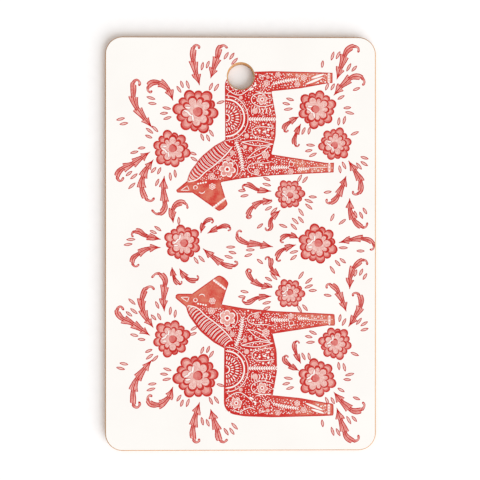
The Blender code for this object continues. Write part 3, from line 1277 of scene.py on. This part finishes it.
# %% [markdown]
# ## Beads along a path
#
# Collar, girth and vines are rows of the same small mark: grains that branch from a line in pairs, or round
# beads one after another. The tree walks each curve in equal steps, puts a mark on every step and turns it
# with the curve. Fork opens the pairs. At zero there are none, only single beads.


# %% The tree that threads beads
def round_mark(nodes, sides):
    """A flat disc one unit wide, cheap enough to repeat by the hundred."""
    sockets = {"Resolution": sides, "Radius": 0.5}
    return filled(nodes, nodes.add("GeometryNodeCurvePrimitiveCircle", None, sockets))


def bead_tree():
    tree, nodes, given = new_tree("beads", Step=float, Long=float, Fork=float, **INKED)
    bead = moved(nodes, round_mark(nodes, 10), Scale=nodes.combine(given["Long"], 1.0, 1.0))
    hinged = moved(nodes, bead, Translation=nodes.combine(given["Long"] * -0.5, 0.0, 0.0))
    arms = [moved(nodes, hinged, Rotation=turned(nodes, given["Fork"] * sign)) for sign in (1.0, -1.0)]
    pair = nodes.add("GeometryNodeJoinGeometry", None, {"Geometry": arms})
    mark = nodes.add(
        "GeometryNodeSwitch", {"input_type": "GEOMETRY"},
        {"Switch": given["Fork"] > 0.0, "False": bead, "True": pair},
    )
    walk = even_steps(nodes, given["Marks"], given["Step"])
    walk = store(nodes, walk, "size", nodes.add("GeometryNodeInputRadius"))
    heading = nodes.add("ShaderNodeSeparateXYZ", None, {0: nodes.add("GeometryNodeInputTangent")})
    walk = store(nodes, walk, "bearing", heading["Y"].math("ARCTAN2", heading["X"]))
    points = nodes.add("GeometryNodeCurveToPoints", {"mode": "EVALUATED"}, {"Curve": walk})
    scale = nodes.combine(stored(nodes, "size"), stored(nodes, "size"), 1.0)
    close_print(nodes, stamped(nodes, points, mark, scale, stored(nodes, "bearing")), given)
    return tree


BRANCHING = [
    [(104.8, 97.7, 1.15), (97, 98.5, 1.15), (85, 101.3, 1.15), (75.5, 105, 1.15)],
    [(51.3, 62.5, 1.15), (51.3, 91, 1.15)],
    [(103.2, 49, 0.95), (103, 57, 1.1), (104, 67, 1.2)],
    [(104.6, 28, 0.8), (105, 38, 1.1)],
    [(8, 39, 0.9), (10, 52, 1.1), (13, 65, 1.0)],
]
BEADED = [
    [(145.6, 128.3, 2.1), (137, 116.8, 2.1)],
    [(120.9, 145.5, 1.8), (119.3, 137.2, 1.8)],
    [(106.8, 4, 1.6), (98.8, 4, 1.6)],
    [(11.4, 4.6, 1.7), (2.8, 4.6, 1.7)],
    [(94.5, 61, 1.2), (97.5, 45, 1.2), (99.5, 30, 1.0)],
    [(38.6, 66, 1.1), (40.4, 76, 1.1), (38.5, 85, 1.1), (32.5, 90.5, 1.1)],
]
beads = bead_tree()
branching = paths("branching", both_horses(BRANCHING))
press("horse_branches", branching, beads, Step=2.5 * MM, Long=2.9, Fork=0.72, Level=5.0, Ink=bare_white)
beaded = paths("beaded", both_horses(BEADED))
press("horse_beads", beaded, beads, Step=2.7 * MM, Long=1.25, Fork=0.0, Level=6.0, Ink=bare_white)

# %% Small flowers and the lights between them
HORSE_FLOWERS = [
    (105.3, 114.1, 9.0), (13.8, 104.4, 6.4), (30.1, 76.5, 6.0), (89.8, 72.6, 4.2), (123.8, 130.2, 3.6),
    (112.9, 131, 3.8), (94.1, 112.9, 2.9), (87.9, 108.7, 2.9), (107.8, 82.5, 3.2), (107.4, 45.6, 3.2),
    (12.4, 71.6, 3.6), (3.4, 59.5, 3.0), (13.5, 38.8, 3.3), (6.3, 31.7, 3.4),
]
PALE_DISCS = [
    (81.2, 95, 4.4), (83.1, 89, 4.2), (69.3, 93.3, 5.4), (66.3, 65.6, 3.6), (28.2, 99.6, 4.2),
    (5.8, 70.4, 4.0), (42.4, 84.3, 6.4), (3.9, 39, 3.4), (107.5, 22.5, 2.6), (106.6, 16, 2.6),
    (58.6, 65.4, 2.8),
]
WHITE_DOTS = [
    (102.9, 72.2, 2.4), (100.4, 77.8, 2.4), (103.2, 85.8, 2.2), (113.2, 91.6, 2.0), (110.3, 95.5, 1.8),
    (71.1, 88.5, 2.0), (71.5, 83.7, 2.0), (65.8, 83.7, 2.2), (63.6, 79.5, 2.6), (62.8, 70, 2.8),
    (56.6, 75.5, 2.4), (57.1, 69.7, 2.4), (5, 115, 1.8), (4, 112, 1.8), (11.5, 114.5, 1.6),
    (17.5, 103, 1.8), (2.7, 66, 1.8),
    (6.5, 66.5, 1.8), (12.5, 84, 2.0), (4.5, 75.5, 1.8), (16, 79, 1.8), (15.5, 75.5, 1.6), (3, 83, 1.6),
    (11.9, 16.3, 1.8), (10.2, 13, 1.8), (11, 8.6, 1.8), (3.5, 48, 1.6), (14.5, 52, 1.6), (16.5, 46, 1.6),
]
WHITE_GRAINS = [
    (9.8, 20.4, 68, 21, 2.6), (4.8, 16.6, 72, 15, 2.6), (19, 88, 60, 5.5, 2.2), (14.8, 84.4, 60, 4.5, 2.0),
    (29, 63.5, 90, 4.5, 1.6), (64.5, 74, 75, 4.5, 2.0), (68.5, 70.5, 105, 4.5, 1.8), (93, 79.5, 60, 6.0, 1.4),
]


def radial(x, y, radius, count, start, end, length, width):
    """Grains that stand round part of a circle and point outwards."""
    for number in range(count):
        turn = start + (end - start) * (number + 0.5) / count
        aim = math.radians(turn)
        yield (x + radius * math.cos(aim), y + radius * math.sin(aim), turn, length, width)


def lay_grains(rows):
    laid = [(HOOF_LINE - y, RUMP_LINE + x, turn + 90, length, width) for x, y, turn, length, width in rows]
    return laid + [(x, -y, -turn, length, width) for x, y, turn, length, width in laid]


def horse_flower_marks():
    laid = [point for route in both_horses([HORSE_FLOWERS]) for point in route]
    return spots(
        "horse_flowers", [(x, y) for x, y, _ in laid], size=[radius * MM for *_, radius in laid],
        turn=[0.7 * number for number in range(len(laid))], flip=[1.0] * len(laid),
    )


HORSE_FLOWER_LAYERS = [
    ("horse_flower_outlines", 1.00, 6, 0.34, 0.60, 0.0, 0.0, NO_SHIFT, bare_white),
    ("horse_flower_petals", 0.86, 6, 0.42, 0.50, 0.0, 0.0, NO_SHIFT, petal_light),
    ("horse_flower_rings", 0.36, 6, 0.10, 0.60, 0.0, 0.0, NO_SHIFT, bare_white),
    ("horse_flower_eyes", 0.20, 6, 0.10, 0.60, 0.0, 0.0, NO_SHIFT, horse_red),
]
press_flowers(horse_flower_marks(), HORSE_FLOWER_LAYERS, first_level=7)
grains = [
    *WHITE_GRAINS,
    *((x, y, 0, size, size) for x, y, size in WHITE_DOTS),
    *radial(*SADDLE, 7.6, 9, 180, 360, 3.4, 1.2),
    *radial(*SADDLE, 12.8, 14, 180, 360, 4.4, 1.2),
    *radial(*SADDLE, 16.7, 24, 180, 360, 1.1, 1.1),
    *radial(30.1, 76.5, 8.6, 8, 0, 360, 2.2, 1.2),
    *radial(13.8, 104.4, 9.2, 14, 0, 360, 1.1, 1.1),
]
press(
    "horse_grains", dab_marks("grains", lay_grains(grains)), dabs, Pinch=0.25, Inset=0.0, Level=11.0,
    Ink=bare_white,
)
discs = [(x, y, 0, size, size) for x, y, size in PALE_DISCS]
press(
    "horse_discs", dab_marks("discs", lay_grains(discs)), dabs, Pinch=0.0, Inset=0.0, Level=6.5, Ink=pale_pink
)

# %% [markdown]
# ## Lace
#
# The ground between the larger marks is filled with tiny white dots, evenly but not in rows. Scattering
# points with a least distance between them does that. A dot that would touch another mark or the horse's
# edge is dropped, so the dots flow round everything else as if drawn last. The mane and the muzzle stay
# plain.

# %% The tree that scatters dots
LACE_DOTS = (0.75 * MM, 1.5 * MM)  # the smallest and the largest
CROWD = 900000.0  # more dots in a square metre than there is room for, so that the distance decides


def lace_tree():
    tree, nodes, given = new_tree(
        "lace", Apart=float, From_Edge=float, From_Marks=float, Ornament=bpy.types.Collection, Seed=int,
        **INKED,
    )
    field = rounded(nodes, given["Marks"])
    ground = filled(nodes, field)
    points = nodes.add(
        "GeometryNodeDistributePointsOnFaces", {"distribute_method": "POISSON"},
        {"Mesh": ground, "Distance Min": given["Apart"], "Density Max": CROWD, "Seed": given["Seed"]},
    )
    edge = nodes.add("GeometryNodeCurveToMesh", None, {"Curve": field})
    to_edge = nodes.add("GeometryNodeProximity", {"target_element": "EDGES"}, {"Geometry": edge})
    to_edge = to_edge["Distance"]
    marks = nodes.add("GeometryNodeCollectionInfo", None, {"Collection": given["Ornament"]})
    marks = nodes.add("GeometryNodeRealizeInstances", None, {"Geometry": marks})
    lifted = nodes.vector("ADD", nodes.add("GeometryNodeInputPosition"), (0.0, 0.0, FACE_Z))
    to_marks = nodes.add(
        "GeometryNodeProximity", {"target_element": "FACES"}, {"Geometry": marks, "Sample Position": lifted}
    )["Distance"]
    crowded = (to_edge < given["From_Edge"]).math("MAXIMUM", to_marks < given["From_Marks"])
    kept = nodes.add(
        "GeometryNodeDeleteGeometry", {"domain": "POINT"}, {"Geometry": points, "Selection": crowded}
    )
    smallest, largest = LACE_DOTS
    size = nodes.add(
        "FunctionNodeRandomValue", {"data_type": "FLOAT"},
        {"Min": smallest, "Max": largest, "Seed": given["Seed"]},
    )
    kept = store(nodes, kept, "size", size)
    twin = moved(nodes, kept, Scale=(1.0, -1.0, 1.0))
    both = nodes.add("GeometryNodeJoinGeometry", None, {"Geometry": [kept, twin]})
    scale = nodes.combine(stored(nodes, "size"), stored(nodes, "size"), 1.0)
    close_print(nodes, stamped(nodes, both, round_mark(nodes, 8), scale), given)
    return tree


NECK = [(80.5, 108.5, 0), (92.5, 118.5, 0), (108, 137.5, 0), (114, 146, 0), (119, 143, 0), (118.5, 128, 0)]
THROAT = next(number for number, (x, y, _) in enumerate(HORSE) if (x, y) == (119.2, 121.3))
LACE_FIELD = HORSE[:4] + NECK + HORSE[THROAT:]
ornament = bpy.data.collections.new("ornament")
for name, piece in pieces.items():
    if name.startswith("horse_") and name not in ("horse_bodies", "horse_edges"):
        ornament.objects.link(piece)
lace_field = paths("lace_field", [lay(LACE_FIELD)], smooth=False)
press(
    "horse_lace", lace_field, lace_tree(), Apart=1.7 * MM, From_Edge=1.5 * MM, From_Marks=0.85 * MM,
    Ornament=ornament, Seed=3, Level=3.0, Ink=bare_white,
)
bpy.data.collections.remove(ornament)

# %% [markdown]
# ## The hole goes through the print
#
# The board is printed first and drilled after, so the upper horse loses part of its rump. Marks that lie
# wholly inside the drill's path fall out. Marks that cross it are cut with a Boolean, which costs too much
# to run on everything else.


# %% Drill the print
DRILL_RADIUS = HOLE_RADIUS + FACE_CHAMFER + 0.05 * MM
DRILL_LENGTH = 40.0 * MM


def make_drill():
    mesh = bpy.data.meshes.new("drill")
    shape = bmesh.new()
    bmesh.ops.create_cone(
        shape, cap_ends=True, segments=96, radius1=DRILL_RADIUS, radius2=DRILL_RADIUS, depth=DRILL_LENGTH,
        matrix=Matrix.Translation((*HOLE_CENTRE, 0.0)),
    )
    shape.to_mesh(mesh)
    shape.free()
    drill = bpy.data.objects.new("drill", mesh)
    bpy.context.collection.objects.link(drill)
    return drill


def islands(shape):
    """The separate marks of a mesh, as lists of vertices."""
    waiting = set(shape.verts)
    while waiting:
        mark, edge = [], [waiting.pop()]
        while edge:
            vertex = edge.pop()
            mark.append(vertex)
            for link in vertex.link_edges:
                other = link.other_vert(vertex)
                if other in waiting:
                    waiting.remove(other)
                    edge.append(other)
        yield mark


def drill_through(piece, drill):
    """Takes the hole out of a piece of print."""
    centre = Vector(HOLE_CENTRE)
    shape = bmesh.new()
    shape.from_mesh(piece.data)
    fallen, crossing = [], []
    for mark in islands(shape):
        inside = [(vertex.co.xy - centre).length < DRILL_RADIUS for vertex in mark]
        if all(inside):
            fallen += mark
        elif any(inside):
            crossing += mark
    if not fallen and not crossing:
        shape.free()
        return
    numbers = {vertex.index for vertex in crossing}
    crossed = shape.copy()
    others = [vertex for vertex in crossed.verts if vertex.index not in numbers]
    bmesh.ops.delete(crossed, geom=others, context="VERTS")
    part = bpy.data.meshes.new("crossed")
    crossed.to_mesh(part)
    crossed.free()
    part.materials.append(piece.data.materials[0])
    holder = bpy.data.objects.new("crossed", part)
    bpy.context.collection.objects.link(holder)
    modifier = holder.modifiers.new("drill", "BOOLEAN")
    modifier.operation, modifier.solver, modifier.object = "DIFFERENCE", "EXACT", drill
    modifier.use_self = True
    evaluated = holder.evaluated_get(bpy.context.evaluated_depsgraph_get())
    result = bpy.data.meshes.new_from_object(evaluated)
    bmesh.ops.delete(shape, geom=fallen + crossing, context="VERTS")
    shape.from_mesh(result)
    shape.to_mesh(piece.data)
    shape.free()
    bpy.data.objects.remove(holder)
    print(f"{piece.name}: {len(fallen)} points fell out, {len(crossing)} belong to marks that were cut")


drill = make_drill()
for name, piece in pieces.items():
    if name.startswith("horse_"):
        drill_through(piece, drill)
bpy.data.objects.remove(drill)

# %% Hand over
for piece in pieces.values():
    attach(piece, "root")
